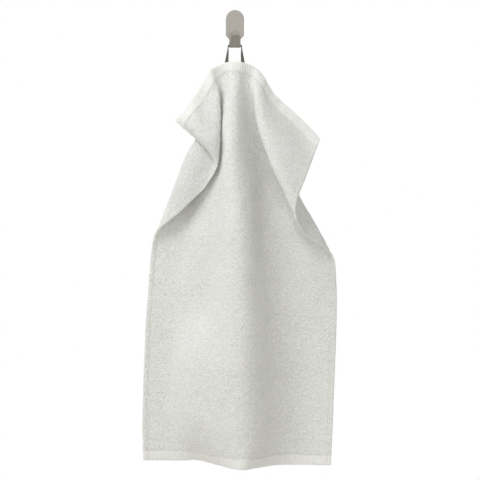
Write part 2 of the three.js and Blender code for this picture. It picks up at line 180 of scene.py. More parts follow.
# Satin stainless steel: fine brush lines run down the strip, so its gloss is soft and
# drawn out sideways, with faint cloudy marks from handling.
satin_steel, tree, shader = new_finish("satin_stainless_steel")
place = add_node(tree, "ShaderNodeTexCoord")
BRUSH_LINE = 0.35 * MM
CLOUD = 8.333 * MM
along = add_node(
    tree, "ShaderNodeMapping", {"Vector": place.outputs["Object"]},
    inputs={"Scale": (1 / BRUSH_LINE, 1 / BRUSH_LINE, 0.03 / BRUSH_LINE)},
)
lines = add_node(
    tree, "ShaderNodeTexNoise", {"Vector": along.outputs["Vector"]},
    inputs={"Scale": 1.0, "Detail": 3.0, "Roughness": 0.6},
)
clouds = add_node(
    tree, "ShaderNodeTexNoise", {"Vector": place.outputs["Object"]},
    inputs={"Scale": 1 / CLOUD, "Detail": 4.0, "Roughness": 0.55},
)
tone = add_node(
    tree, "ShaderNodeMix", {"Factor": clouds.outputs["Fac"]}, data_type="RGBA",
)
tone.inputs["A"].default_value = linear_colour("#a29e98")
tone.inputs["B"].default_value = linear_colour("#b5b1ab")
tree.links.new(tone.outputs["Result"], shader.inputs["Base Color"])
gloss = add_node(
    tree, "ShaderNodeMapRange", {"Value": lines.outputs["Fac"]},
    inputs={"From Min": 0.3, "From Max": 0.7, "To Min": 0.36, "To Max": 0.48},
)
tree.links.new(gloss.outputs["Result"], shader.inputs["Roughness"])
relief = add_node(
    tree, "ShaderNodeBump", {"Height": lines.outputs["Fac"]},
    inputs={"Strength": 0.12, "Distance": 0.05 * MM},
)
tree.links.new(relief.outputs["Normal"], shader.inputs["Normal"])
shader.inputs["Metallic"].default_value = 1.0
hook.data.materials.append(satin_steel)
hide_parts("hook")
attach(hook, "root")


# Towel. One piece of cotton terry, pile on both faces, its edges turned under twice and
# stitched: wide flat hems at the ends, narrow ones down the sides. It hangs from the middle
# of its top hem: the middle falls in a ridge, and each side folds forward, its corner first.
# Sizes in this section are in millimetres: the flat towel, its thickness in the pile and in
# the hems, and the width of the hems.
TOWEL_WIDTH = 410.0
TOWEL_LENGTH = 700.0
TERRY = 2.4
HEM = 3.4
END_HEM = 18.0
SIDE_HEM = 8.0

# Lines of the cloth that show in the hang. Each row is one point of a line: its place (u, v)
# on the flat cloth, from the left edge and the top edge, and then its place in the air as x,
# distance out from the wall, and z. "hold" is how firmly the line keeps its place.
FOLD_LINES = {
    "top hem, left": dict(hold=0.6, rows=[
        (190, 0, -15, 18, -69),
        (176, 0, -24, 14, -72),
        (165, 0, -31, 15, -77),
        (150, 0, -40, 18, -79),
        (115, 0, -52, 26, -99),
        (66, 0, -71, 32, -129),
        (24, 0, -87, 34, -155),
        (0, 0, -103, 34, -169),
    ]),
    "top hem, right": dict(hold=0.6, rows=[
        (220, 0, 14, 18, -69),
        (240, 0, 33, 10, -75),
        (256, 0, 46, 10, -87),
        (298, 0, 69, 12, -124),
        (326, 0, 92, 14, -145),
        (357, 0, 114, 17, -165),
        (392, 0, 138, 21, -191),
        (410, 0, 145, 24, -201),
    ]),
    "left side hem": dict(hold=0.5, rows=[
        (0, 0, -103, 34, -169),
        (0, 40, -68, 41, -199),
        (0, 80, -38, 51, -228),
        (0, 98, -31, 56, -242),
        (0, 109, -33, 54, -253),
        (0, 128, -41, 48, -270),
        (0, 150, -52, 42, -288),
        (0, 186, -76, 36, -310),
        (0, 221, -96, 31, -329),
        (0, 258, -120, 26, -348),
        (0, 283, -132, 21, -358),
        (0, 308, -141, 15, -375),
        (0, 350, -146, 8, -412),
        (0, 462, -154, 8, -520),
        (0, 560, -158, 8, -618),
        (0, 640, -160, 8, -697),
        (0, 700, -158, 8, -753),
    ]),
    "right side hem": dict(hold=0.5, rows=[
        (410, 0, 145, 24, -201),
        (410, 98, 119, 72, -273),
        (410, 142, 104, 86, -307),
        (410, 157, 101, 87, -321),
        (410, 170, 102, 85, -334),
        (410, 190, 106, 80, -350),
        (410, 204, 111, 74, -360),
        (410, 220, 118, 67, -369),
        (410, 245, 131, 58, -376),
        (410, 273, 146, 48, -385),
        (410, 302, 160, 38, -396),
        (410, 334, 171, 28, -411),
        (410, 380, 175, 26, -459),
        (410, 445, 174, 28, -527),
        (410, 700, 163, 44, -754),
    ]),
    "middle ridge": dict(hold=0.2, rows=[
        (205, 0, -1, 20, -68),
        (205, 30, 0, 34, -98),
        (205, 85, 3, 50, -155),
        (205, 190, 8, 72, -257),
        (205, 300, 12, 86, -365),
        (205, 450, 15, 92, -506),
        (205, 700, 14, 92, -753),
    ]),
    "valley right of the ridge": dict(hold=0.15, rows=[
        (230, 8, 27, 10, -78),
        (238, 30, 28, 10, -99),
        (252, 90, 33, 14, -154),
        (264, 150, 43, 18, -211),
        (275, 210, 49, 20, -268),
        (286, 300, 53, 20, -355),
        (295, 400, 60, 14, -450),
    ]),
    "bottom hem": dict(hold=0.2, rows=[
        (0, 700, -158, 8, -753),
        (35, 700, -125, 5, -753),
        (90, 700, -64, 8, -754),
        (150, 700, -26, 50, -754),
        (198, 700, 6, 90, -754),
        (210, 700, 14, 92, -753),
        (262, 700, 43, 52, -758),
        (312, 700, 74, 8, -763),
        (360, 700, 116, 20, -758),
        (410, 700, 163, 44, -755),
    ]),
    "left side turns forward": dict(hold=0.25, rows=[
        (101, 133, -70, 12, -215),
        (68, 182, -89, 10, -257),
        (29, 240, -117, 11, -315),
        (0, 283, -132, 21, -358),
    ]),
    "right side turns forward": dict(hold=0.25, rows=[
        (334, 196, 105, 24, -288),
        (371, 259, 138, 24, -350),
        (410, 326, 170, 28, -408),
    ]),
    "crease left of the ridge": dict(hold=0.2, rows=[
        (186, 12, -20, 20, -80),
        (182, 30, -20, 18, -99),
        (172, 60, -19.5, 28, -128),
        (163, 90, -19, 35, -157),
        (156, 120, -19, 42, -185),
        (152, 150, -19, 47, -215),
        (150, 180, -20, 50, -245),
    ]),
    "left corner turns down": dict(hold=0.25, rows=[
        (155, 28, -21, 25, -104),
        (137, 42, -21.5, 33, -127),
        (92, 62, -22.5, 43, -171),
        (48, 78, -25, 54, -208),
        (0, 98, -31, 58, -242),
    ]),
    "right corner turns down": dict(hold=0.25, rows=[
        (265, 39, 34, 36, -127),
        (311, 79, 44, 56, -189),
        (356, 118, 64, 74, -253),
        (410, 165, 101, 87, -327),
    ]),
    "top hem curls back, right": dict(hold=0.1, rows=[
        (262, 20, 40, 22, -107),
        (298, 20, 56, 21, -139),
        (326, 20, 78, 21, -162),
        (357, 20, 99, 22, -183),
        (392, 20, 123, 26, -208),
    ]),
    "left flank": dict(hold=0.1, rows=[
        (138, 150, -27, 31, -215),
        (134, 180, -31, 34, -245),
        (132, 210, -35, 38, -272),
        (128, 310, -36, 40, -368),
        (110, 450, -46, 28, -505),
    ]),
    "left panel": dict(hold=0.08, rows=[
        (80, 215, -72, 8, -268),
        (66, 265, -79, 8, -318),
        (52, 320, -92, 8, -374),
        (50, 400, -100, 8, -456),
        (50, 500, -104, 8, -556),
        (50, 700, -107, 8, -754),
    ]),
    "foot of the valley": dict(hold=0.05, rows=[
        (300, 430, 61, 12, -480),
        (307, 560, 70, 8, -615),
        (312, 700, 74, 8, -763),
    ]),
    "right panel": dict(hold=0.06, rows=[
        (330, 260, 88, 28, -316),
        (348, 330, 108, 24, -388),
        (358, 430, 120, 20, -500),
        (360, 700, 116, 20, -758),
    ]),
    "middle of the left corner": dict(hold=0.12, rows=[
        (137, 21, -34, 25, -107),
        (100, 29, -43, 34, -138),
        (60, 40, -50, 45, -171),
        (30, 60, -46, 55, -203),
    ]),
    "fold hidden behind the left corner": dict(hold=0.15, rows=[
        (168, 29, -30, 10, -103),
        (155, 51, -37, 14, -128),
        (136, 72, -46, 17, -157),
        (117, 94, -56, 17, -187),
        (100, 125, -66, 13, -218),
    ]),
}

# The cloth is taken as a net of nodes. A thread between two nodes doesn't stretch but gives
# when it is pushed together, the bias gives more, and no fold gets sharper than FOLD_ROUNDNESS:
# a number of cells, and the least distance, in cells, between its two ends.
CELL = 10.0
COLUMNS = round(TOWEL_WIDTH / CELL) + 1
ROWS = round(TOWEL_LENGTH / CELL) + 1
PUCKER_GIVE = 0.03
BIAS_HOLD = 0.1
BENDING_HOLD = 0.15
FOLD_ROUNDNESS = ((2, 1.6), (4, 2.6))
ROUND_HOLD = 0.5

# The flat net starts with its top edge at the loop, in front of the wall. Its lines lead it to
# the hang over LEAD_STEPS, and then it settles, held more loosely. Lines with a hold of at
# least EDGE_HOLD run along the cloth's edges. The loop is sewn to the two SEWN_NODES.
START_OUT = 60.0
TOP_HEIGHT = -69.0
SETTLE_STEPS = 240
LEAD_STEPS = 200
SWEEPS = 4
HELD_POINT_SPACING = 4.0
EDGE_HOLD = 0.5
EDGE_SLACK = 0.5
FOLD_SLACK = 0.3
SEWN_NODES = np.array([19, 22])
SEWN_PLACES = np.array([(-15.0, -18, TOP_HEIGHT), (14.0, -18, TOP_HEIGHT)])
WALL_CLEARANCE = 4.0


def thread_pairs():
    """Pairs of nodes that keep their distance, in sets in which no node comes twice."""
    node = np.arange(ROWS * COLUMNS).reshape(ROWS, COLUMNS)
    sets = []

    def add(first, second, length, hold, give):
        if second.size:
            first = first[:second.shape[0], :second.shape[1]]
            sets.append((first.ravel(), second.ravel(), length, hold, give))

    for odd in (0, 1):
        add(node[:, odd:-1:2], node[:, odd + 1::2], CELL, 1.0, PUCKER_GIVE)
        add(node[odd:-1:2], node[odd + 1::2], CELL, 1.0, PUCKER_GIVE)
    bias = CELL * math.sqrt(2)
    for down in (0, 1):
        for across in (0, 1):
            left, right = node[:, across:-1:2], node[:, across + 1::2]
            add(left[down:-1:2], right[down + 1::2], bias, BIAS_HOLD, BIAS_HOLD)
            add(right[down:-1:2], left[down + 1::2], bias, BIAS_HOLD, BIAS_HOLD)
    for cells, least in FOLD_ROUNDNESS:
        for first in range(cells):
            for start in (first, first + cells):
                near, far = slice(start, None, 2 * cells), slice(start + cells, None, 2 * cells)
                add(node[:, near], node[:, far], least * CELL, 0.0, ROUND_HOLD)
                add(node[near], node[far], least * CELL, 0.0, ROUND_HOLD)
    return sets


def held_points(rows):
    """Points along a line: the four nodes round each, their shares, and its place in the air."""
    rows = np.array(rows, float)
    points = [rows[-1]]
    for start, end in zip(rows[:-1], rows[1:]):
        pieces = math.ceil(math.hypot(*(end - start)[:2]) / HELD_POINT_SPACING)
        points += [start + (end - start) * i / pieces for i in range(pieces)]
    points = np.array(points)
    u, v = points[:, 0] / CELL, points[:, 1] / CELL
    column = np.minimum(u.astype(int), COLUMNS - 2)
    row = np.minimum(v.astype(int), ROWS - 2)
    across, down = u - column, v - row
    corner = row * COLUMNS + column
    nodes = np.stack([corner, corner + 1, corner + COLUMNS, corner + COLUMNS + 1], 1)
    shares = np.stack(
        [(1 - down) * (1 - across), (1 - down) * across, down * (1 - across), down * across], 1
    )
    return nodes, shares, points[:, 2:] * (1, -1, 1)


def even_bending(cloth):
    """Spreads the bending of the cloth evenly along its threads, down and then across."""
    grid = cloth.reshape(ROWS, COLUMNS, 3)
    for threads in (grid, grid.transpose(1, 0, 2)):
        bend = np.zeros((len(threads) + 2, *threads.shape[1:]))
        bend[2:-2] = (threads[:-2] + threads[2:]) / 2 - threads[1:-1]
        threads -= BENDING_HOLD * ((bend[:-2] + bend[2:]) / 2 - bend[1:-1])


def settled_cloth():
    """Leads the flat cloth's lines to their places, while warp and weft keep their lengths."""
    column, row = np.meshgrid(np.arange(COLUMNS), np.arange(ROWS))
    flat = np.stack([
        column * CELL - TOWEL_WIDTH / 2, np.full(row.shape, -START_OUT), TOP_HEIGHT - row * CELL,
    ], -1).reshape(-1, 3)
    cloth = flat.copy()
    pairs = thread_pairs()
    lines = []
    for line in FOLD_LINES.values():
        nodes, shares, places = held_points(line["rows"])
        total = np.bincount(nodes.ravel(), shares.ravel(), len(cloth))
        starts = (shares[..., None] * flat[nodes]).sum(1)
        lines.append((line["hold"], nodes, shares, places, total, starts))
    for step in range(1, SETTLE_STEPS + 1):
        way = min(1.0, step / LEAD_STEPS)
        led = way * way * (3 - 2 * way)
        for _ in range(SWEEPS):
            for first, second, length, hold, give in pairs:
                reach = cloth[second] - cloth[first]
                distance = np.sqrt((reach * reach).sum(1)) + 1e-9
                share = (distance - length) / distance / 2
                reach *= (share * np.where(share < 0, give, hold))[:, None]
                cloth[first] += reach
                cloth[second] -= reach
            even_bending(cloth)
            for hold, nodes, shares, places, total, starts in lines:
                slack = EDGE_SLACK if hold >= EDGE_HOLD else FOLD_SLACK
                firm = hold * slack if step > LEAD_STEPS else hold
                held = (shares[..., None] * cloth[nodes]).sum(1)
                miss = starts * (1 - led) + places * led - held
                shift = np.stack([
                    np.bincount(nodes.ravel(), (shares * miss[:, axis, None]).ravel(), len(cloth))
                    for axis in range(3)
                ], 1)
                near = total > 0.2
                cloth[near] += firm * shift[near] / total[near, None]
            cloth[SEWN_NODES] = flat[SEWN_NODES] * (1 - led) + SEWN_PLACES * led
            cloth[:, 1] = np.minimum(cloth[:, 1], -WALL_CLEARANCE)
    return cloth.reshape(ROWS, COLUMNS, 3)


def smooth_weights(place, count):
    """For each place along a row of nodes, the share of every node in the smooth curve there."""
    weights = np.zeros((len(place), count + 2))
    first = np.minimum(place.astype(int), count - 2)
    t = place - first
    cubic = (
        (-t + 2 * t**2 - t**3) / 2, (2 - 5 * t**2 + 3 * t**3) / 2,
        (t + 4 * t**2 - 3 * t**3) / 2, (-t**2 + t**3) / 2,
    )
    for i, share in enumerate(cubic):
        weights[np.arange(len(place)), first + i] += share
    weights[:, 1] += 2 * weights[:, 0]
    weights[:, 2] -= weights[:, 0]
    weights[:, -2] += 2 * weights[:, -1]
    weights[:, -3] -= weights[:, -1]
    return weights[:, 1:-1]


SETTLED = settled_cloth()


def cloth_places(u, v):
    """Places in the air of the crossings of lines u and v of the flat cloth."""
    down = smooth_weights(np.asarray(v, float) / CELL, ROWS)
    across = smooth_weights(np.asarray(u, float) / CELL, COLUMNS)
    return np.einsum("ri,ijk,cj->rck", down, SETTLED, across)


# Lines of the finished sheet: through the round of the turned edge, across the hem, close on
# both sides of the seam, and evenly over the pile.
EDGE_ROUND = (0.0, 0.35, 0.9, 1.8)
HEM_SPACING = 2.6
SEAM_GAP = 0.8
PILE_SPACING_ACROSS = 2.85
PILE_SPACING_DOWN = 2.95


def stations(length, hem, spacing):
    """Distances from one edge of the flat cloth to the other at which the sheet has a line."""
    start, end = EDGE_ROUND[-1], hem - SEAM_GAP
    in_hem = np.linspace(start, end, max(2, round((end - start) / HEM_SPACING) + 1))
    side = [*EDGE_ROUND, *in_hem[1:], hem, hem + SEAM_GAP]
    first = hem + 2 * SEAM_GAP
    inner = np.linspace(first, length - first, round((length - 2 * first) / spacing) + 1)
    return np.array([*side, *inner, *[length - s for s in reversed(side)]])


across = stations(TOWEL_WIDTH, SIDE_HEM, PILE_SPACING_ACROSS)
down = stations(TOWEL_LENGTH, END_HEM, PILE_SPACING_DOWN)
middle = cloth_places(across, down)

# Slight unevenness that a washed cotton cloth keeps: soft waves of three lengths and heights,
# and puckers every 17 to 19 mm along the hems, where the stitching draws the cloth up.
WAVES = ((85, 0.35), (38, 0.12), (21, 0.07))
PUCKER_HEIGHT = 0.35
generator = np.random.default_rng(7)
u, v = np.meshgrid(across, down)


def facing(places):
    """Direction square to a grid of places on a sheet."""
    normal = np.cross(np.gradient(places, axis=0), np.gradient(places, axis=1))
    return normal / np.linalg.norm(normal, axis=2, keepdims=True)


wave = np.zeros(u.shape)
for length, height in WAVES:
    for _ in range(5):
        heading = generator.uniform(0, math.pi)
        phase = generator.uniform(0, 2 * math.pi)
        size = length * generator.uniform(0.8, 1.25)
        wave += height * np.sin(
            2 * math.pi * (u * math.cos(heading) + v * math.sin(heading)) / size + phase
        ) / 2
from_side = np.minimum(u, TOWEL_WIDTH - u)
from_end = np.minimum(v, TOWEL_LENGTH - v)
pucker = np.exp(-from_side / 9) * np.sin(2 * math.pi * v / 17 + 2.2 * np.sin(v / 41))
pucker += np.exp(-from_end / 14) * np.sin(2 * math.pi * u / 19 + 2.0 * np.sin(u / 37))
pucker *= PUCKER_HEIGHT

# The pile never stands quite level: its height changes a little from one few loops to the next,
# in short runs along the rows in which the loops were woven.
PILE_UNEVEN = 0.25
pile = generator.normal(0, PILE_UNEVEN, u.shape)
pile = (pile + np.roll(pile, 1, axis=1)) / math.sqrt(2)
pile[(from_side <= SIDE_HEM + 1) | (from_end <= END_HEM + 1)] = 0
middle = middle + facing(middle) * (wave + pucker + pile)[..., None]


# How much the cloth is drawn in at a seam, how far from it that reaches, and how much thicker
# than the terry a side hem is at most.
SEAM_DEPTH = 0.34
SEAM_REACH = 0.7
SIDE_HEM_SHARE = 1.4


def half_thickness(from_side, from_end):
    """Half the thickness: rounded at the turned edge, drawn in at the stitching, then pile."""
    def profile(distance, hem):
        round_share = np.clip(distance / EDGE_ROUND[-1], 0, 1)
        turned = HEM / 2 * np.sqrt(np.clip(1 - (1 - round_share) ** 2, 0.04, 1))
        groove = 1 - SEAM_DEPTH * np.exp(-((distance - hem) / SEAM_REACH) ** 2)
        return np.where(distance <= hem, turned, TERRY / 2) * groove
    side = profile(from_side, SIDE_HEM)
    end = profile(from_end, END_HEM)
    thinner = np.minimum(side, end)
    in_side, in_end = from_side <= SIDE_HEM, from_end <= END_HEM
    return np.select(
        [in_side & in_end, in_side, in_end],
        [thinner, np.minimum(side, end * SIDE_HEM_SHARE), end], thinner,
    )


def new_sheet(name, places, flat_places, half, full):
    """A sheet on a grid of places, with its flat places as UV map and half its thickness."""
    rows, columns = half.shape
    mesh = bmesh.new()
    bmesh.ops.create_grid(mesh, x_segments=columns - 1, y_segments=rows - 1, size=0.5)
    uv_layer = mesh.loops.layers.uv.new("flat")
    group_layer = mesh.verts.layers.deform.new()
    for vert in mesh.verts:
        c = round((vert.co.x + 0.5) * (columns - 1))
        r = round((0.5 - vert.co.y) * (rows - 1))
        vert.co = places[r, c] * MM
        vert[group_layer][0] = 2 * half[r, c] / full
        for loop in vert.link_loops:
            loop[uv_layer].uv = flat_places[r, c] * MM
    for face in mesh.faces:
        face.smooth = True
    sheet = bpy.data.objects.new(name, bpy.data.meshes.new(name))
    mesh.to_mesh(sheet.data)
    mesh.free()
    bpy.context.scene.collection.objects.link(sheet)
    sheet.vertex_groups.new(name="thickness")
    body = sheet.modifiers.new("thickness", "SOLIDIFY")
    body.thickness = full * MM
    body.offset = 0.0
    body.vertex_group = "thickness"
    body.use_rim = True
    return sheet


thickness = half_thickness(from_side, from_end)
towel = new_sheet("terry_towel", middle, np.stack([u, TOWEL_LENGTH - v], -1), thickness, HEM)

# Terry cotton: bleached yarn standing in rows of small loops, which break up the light and let a
# little of it through; the shade between the loops is painted into the colour. The end hems are
# woven flat, with fine cords across them, their light and shade painted into the colour too. Real
# loops and cords are about a millimetre apart; they are drawn coarser, or the picture loses them.
terry_cotton, tree, shader = new_finish("terry_cotton")
flat = add_node(tree, "ShaderNodeUVMap", uv_map="flat")
LOOP_SPACING = 2.2 * MM
TUFT = 3.846 * MM
WASHED_PATCH = 45.45 * MM
CORD_SPACING = 4.5 * MM
CORD_HEIGHT = 0.22
rows = add_node(
    tree, "ShaderNodeMapping", {"Vector": flat.outputs["UV"]},
    inputs={"Scale": (0.75 / LOOP_SPACING, 1.1 / LOOP_SPACING, 1)},
)
loops = add_node(
    tree, "ShaderNodeTexVoronoi", {"Vector": rows.outputs["Vector"]},
    inputs={"Scale": 1.0, "Randomness": 0.85},
)
tufts = add_node(
    tree, "ShaderNodeTexNoise", {"Vector": flat.outputs["UV"]},
    inputs={"Scale": 1 / TUFT, "Detail": 3.0, "Roughness": 0.6},
)
patches = add_node(
    tree, "ShaderNodeTexNoise", {"Vector": flat.outputs["UV"]},
    inputs={"Scale": 1 / WASHED_PATCH, "Detail": 3.0, "Roughness": 0.5},
)
crumb = add_node(
    tree, "ShaderNodeMath", operation="ADD",
    links={0: loops.outputs["Distance"], 1: tufts.outputs["Fac"]},
)
split = add_node(tree, "ShaderNodeSeparateXYZ", {"Vector": flat.outputs["UV"]})
cord_angle = add_node(
    tree, "ShaderNodeMath", {0: split.outputs["X"]}, operation="MULTIPLY",
    inputs={1: 2 * math.pi / CORD_SPACING},
)
cords = add_node(tree, "ShaderNodeMath", {0: cord_angle.outputs["Value"]}, operation="SINE")
past_middle = add_node(
    tree, "ShaderNodeMath", {0: split.outputs["Y"]}, operation="SUBTRACT",
    inputs={1: TOWEL_LENGTH / 2 * MM},
)
from_middle = add_node(
    tree, "ShaderNodeMath", {0: past_middle.outputs["Value"]}, operation="ABSOLUTE",
)
in_end_hem = add_node(
    tree, "ShaderNodeMath", {0: from_middle.outputs["Value"]}, operation="GREATER_THAN",
    inputs={1: (TOWEL_LENGTH / 2 - END_HEM) * MM},
)
height = add_node(
    tree, "ShaderNodeMix", {"Factor": in_end_hem.outputs["Value"]}, data_type="FLOAT",
)
tree.links.new(crumb.outputs["Value"], height.inputs["A"])
cord_height = add_node(
    tree, "ShaderNodeMath", {0: cords.outputs["Value"]}, operation="MULTIPLY",
    inputs={1: CORD_HEIGHT},
)
tree.links.new(cord_height.outputs["Value"], height.inputs["B"])
relief = add_node(
    tree, "ShaderNodeBump", {"Height": height.outputs["Result"]},
    inputs={"Strength": 1.0, "Distance": 1.1 * MM},
)
tree.links.new(relief.outputs["Normal"], shader.inputs["Normal"])
# Painted shade: the yarn colour is darker in the hollows between the loops, with random tone from
# the tufts and the washed patches.
shade = add_node(
    tree, "ShaderNodeMapRange", {"Value": crumb.outputs["Value"]},
    inputs={"From Min": 0.5, "From Max": 1.3, "To Min": 0.0, "To Max": 1.0},
)
yarn_and_painted_loop_shade = add_node(tree, "ShaderNodeMix", {"Factor": shade.outputs["Result"]}, data_type="RGBA")
yarn_and_painted_loop_shade.inputs["A"].default_value = linear_colour("#fbfbf9")
yarn_and_painted_loop_shade.inputs["B"].default_value = linear_colour("#dfe0dc")
washed = add_node(
    tree, "ShaderNodeMapRange", {"Value": patches.outputs["Fac"]},
    inputs={"From Min": 0.3, "From Max": 0.7, "To Min": 0.97, "To Max": 1.0},
)
pile_colour_and_shade = add_node(
    tree, "ShaderNodeVectorMath", {0: yarn_and_painted_loop_shade.outputs["Result"], "Scale": washed.outputs["Result"]},
    operation="SCALE",
)
cloth_colour_light_and_shade = add_node(
    tree, "ShaderNodeMix", {"Factor": in_end_hem.outputs["Value"]}, data_type="RGBA",
)
tree.links.new(pile_colour_and_shade.outputs["Vector"], cloth_colour_light_and_shade.inputs["A"])
# Painted light and shade across the end hems: each cord is lighter along its top and darker in the
# groove beside it.
cord_light = add_node(
    tree, "ShaderNodeMapRange", {"Value": cords.outputs["Value"]},
    inputs={"From Min": -1.0, "From Max": 1.0, "To Min": 0.0, "To Max": 1.0},
)
cord_painted_light_and_shade = add_node(
    tree, "ShaderNodeMix", {"Factor": cord_light.outputs["Result"]}, data_type="RGBA",
)
cord_painted_light_and_shade.inputs["A"].default_value = linear_colour("#eaeae6")
cord_painted_light_and_shade.inputs["B"].default_value = linear_colour("#f5f5f2")
tree.links.new(cord_painted_light_and_shade.outputs["Result"], cloth_colour_light_and_shade.inputs["B"])
tree.links.new(cloth_colour_light_and_shade.outputs["Result"], shader.inputs["Base Color"])
shader.inputs["Roughness"].default_value = 0.95
shader.inputs["Sheen Weight"].default_value = 0.15
shader.inputs["Sheen Roughness"].default_value = 0.6
shader.inputs["Specular IOR Level"].default_value = 0.2
shader.inputs["Subsurface Weight"].default_value = 1.0
shader.inputs["Subsurface Radius"].default_value = (1.0, 0.97, 0.9)
shader.inputs["Subsurface Scale"].default_value = 5 * MM
towel.data.materials.append(terry_cotton)
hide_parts("towel")
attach(towel, "root")


# Hem stitching. A lockstitch seam in white cotton thread holds each turned hem down: a line of
# short stitches on both faces, sunk a little into the cloth between hem and pile.
STITCH_PITCH = 3.0
STITCH_HALF_SIZE = (1.2, 0.3, 0.28)
STITCH_LIFT = 0.08
seams = bmesh.new()
square = facing(middle)
side_line = int(np.argmin(abs(across - SIDE_HEM)))
end_line = int(np.argmin(abs(down - END_HEM)))
seam_lines = [
    (stops, middle[pick], square[pick], thickness[pick])
    for stops, pick in (
        (down, (slice(None), side_line)), (down, (slice(None), len(across) - 1 - side_line)),
        (across, (end_line, slice(None))), (across, (len(down) - 1 - end_line, slice(None))),
    )
]
batch = bmesh.new()
batch_mesh = bpy.data.meshes.new("stitches")
for stops, places, directions, half in seam_lines:
    for at in np.arange(STITCH_PITCH, stops[-1] - STITCH_PITCH / 2, STITCH_PITCH):
        centre, ahead, up = (
            Vector([np.interp(at + step, stops, values[:, axis]) for axis in range(3)])
            for values, step in ((places, 0), (places, 0.6), (directions, 0))
        )
        run = (ahead - centre).normalized()
        up = (up - run * up.dot(run)).normalized()
        sides = list(zip((run, up.cross(run), up), STITCH_HALF_SIZE))
        for face in (1, -1):
            seat = Matrix.Identity(4)
            for axis, (direction, size) in enumerate(sides):
                seat.col[axis] = (*(direction * size * MM), 0)
            lift = np.interp(at, stops, half) + STITCH_LIFT
            seat.translation = (centre + up * face * lift) * MM
            bmesh.ops.create_uvsphere(batch, u_segments=6, v_segments=4, radius=1.0, matrix=seat)
        # The stitches join the seams a few at a time, since a long mesh takes each new one slowly.
        if len(batch.verts) > 500 or at + 2 * STITCH_PITCH > stops[-1]:
            batch.to_mesh(batch_mesh)
            seams.from_mesh(batch_mesh)
            batch.clear()
batch.free()
bmesh.ops.recalc_face_normals(seams, faces=seams.faces[:])
for face in seams.faces:
    face.smooth = True
stitching = bpy.data.objects.new("hem_stitching", bpy.data.meshes.new("hem_stitching"))
seams.to_mesh(stitching.data)
seams.free()
bpy.context.scene.collection.objects.link(stitching)

# Cotton thread: smoother and a little brighter than the terry, with a faint twist along it.
cotton_thread, tree, shader = new_finish("cotton_thread")
place = add_node(tree, "ShaderNodeTexCoord")
PLY_TWIST = 0.5 * MM
twist = add_node(
    tree, "ShaderNodeTexNoise", {"Vector": place.outputs["Object"]},
    inputs={"Scale": 1 / PLY_TWIST, "Detail": 2.0},
)
thread = add_node(tree, "ShaderNodeMix", {"Factor": twist.outputs["Fac"]}, data_type="RGBA")
thread.inputs["A"].default_value = linear_colour("#e9eae5")
thread.inputs["B"].default_value = linear_colour("#f2f3ef")
tree.links.new(thread.outputs["Result"], shader.inputs["Base Color"])
shader.inputs["Roughness"].default_value = 0.7
shader.inputs["Sheen Weight"].default_value = 0.1
stitching.data.materials.append(cotton_thread)
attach(stitching, "root")


# Hanging loop. A length of narrow cotton twill tape, its ends sewn in behind the top hem. It
# lies cupped in the bend of the hook, and its two legs turn as they run down to the cloth.
TAPE_WIDTH = 8.0
TAPE = 1.0
CUP_RADIUS = 6.2
# Each row is one point of the tape: x, distance out and z of its middle line, then its turn,
# 0 where its width runs out from the wall, and how far it takes the round of the bend, 0 to 1.
LOOP_ROWS = [
    (-14.6, 13.4, -84, 52, 0),
    (-14.3, 13.8, -70, 52, 0),
    (-13.4, 13, -61, 36, 0),
    (-12.5, 11.4, -52, 23, 0),
    (-11.7, 9.8, -45.5, 10, 0.3),
    (-11.2, 9.2, -42.2, 0, 0.8),
    (-10.4, 9, -40.0, 0, 1),
    (-8.6, 9, -39.4, 0, 1),
    (-4, 9, -39.4, 0, 1),
    (4, 9, -39.4, 0, 1),
    (8.6, 9, -39.4, 0, 1),
    (10.4, 9, -40.0, 0, 1),
    (11.2, 9.2, -42.2, 0, 0.8),
    (11.4, 9.8, -45.5, -10, 0.3),
    (11.9, 11, -52, -23, 0),
    (12.9, 11.8, -61, -36, 0),
    (13.6, 11.6, -70, -55, 0),
    (14.2, 12.4, -84, -84, 0),
]


def curve_through(rows, count):
    """Smooth curve through rows of values, its pace set by the square root of each distance."""
    rows = np.array(rows, float)
    rows = np.vstack([2 * rows[0] - rows[1], rows, 2 * rows[-1] - rows[-2]])
    curve = []
    for at in np.linspace(0, len(rows) - 3, count):
        first = min(int(at), len(rows) - 4)
        before, start, end, after = rows[first:first + 4]
        steps = ((start, end), (before, start), (end, after))
        paces = [math.sqrt(np.linalg.norm(b - a)) for a, b in steps]
        span = paces[0] if paces[0] > 1e-4 else 1.0
        lead, tail = (pace if pace > 1e-4 else span for pace in paces[1:])
        middle_slope = (end - start) / span
        leave = ((start - before) / lead - (end - before) / (lead + span) + middle_slope) * span
        reach = (middle_slope - (after - start) / (span + tail) + (after - end) / tail) * span
        t = at - first
        curve.append(
            start + leave * t + (3 * end - 3 * start - 2 * leave - reach) * t**2
            + (2 * start - 2 * end + leave + reach) * t**3
        )
    return np.array(curve)


loop_rows = np.array(LOOP_ROWS)
TAPE_LINES = 145
path = curve_through(loop_rows[:, :3] * (1, -1, 1), TAPE_LINES)
forms = curve_through(np.c_[loop_rows[:, 3:], np.zeros(len(loop_rows))], TAPE_LINES)
along = np.gradient(path, axis=0)
along /= np.linalg.norm(along, axis=1, keepdims=True)
outward = np.array([0.0, -1.0, 0.0]) + along * along[:, 1:2]
outward /= np.linalg.norm(outward, axis=1, keepdims=True)
turn = np.radians(forms[:, :1])
width = outward * np.cos(turn) + np.cross(along, outward) * np.sin(turn)
up = np.cross(width, along)
reaches = np.array([-4, -3.75, -3.3, -2, -1, 0, 1, 2, 3.3, 3.75, 4]) * TAPE_WIDTH / 8
rise = CUP_RADIUS - np.sqrt(CUP_RADIUS**2 - reaches**2)
tape_places = (
    path[:, None] + width[:, None] * reaches[:, None]
    + up[:, None] * (forms[:, 1:2] * rise)[..., None]
)
run = np.concatenate([[0], np.cumsum(np.linalg.norm(np.diff(path, axis=0), axis=1))])
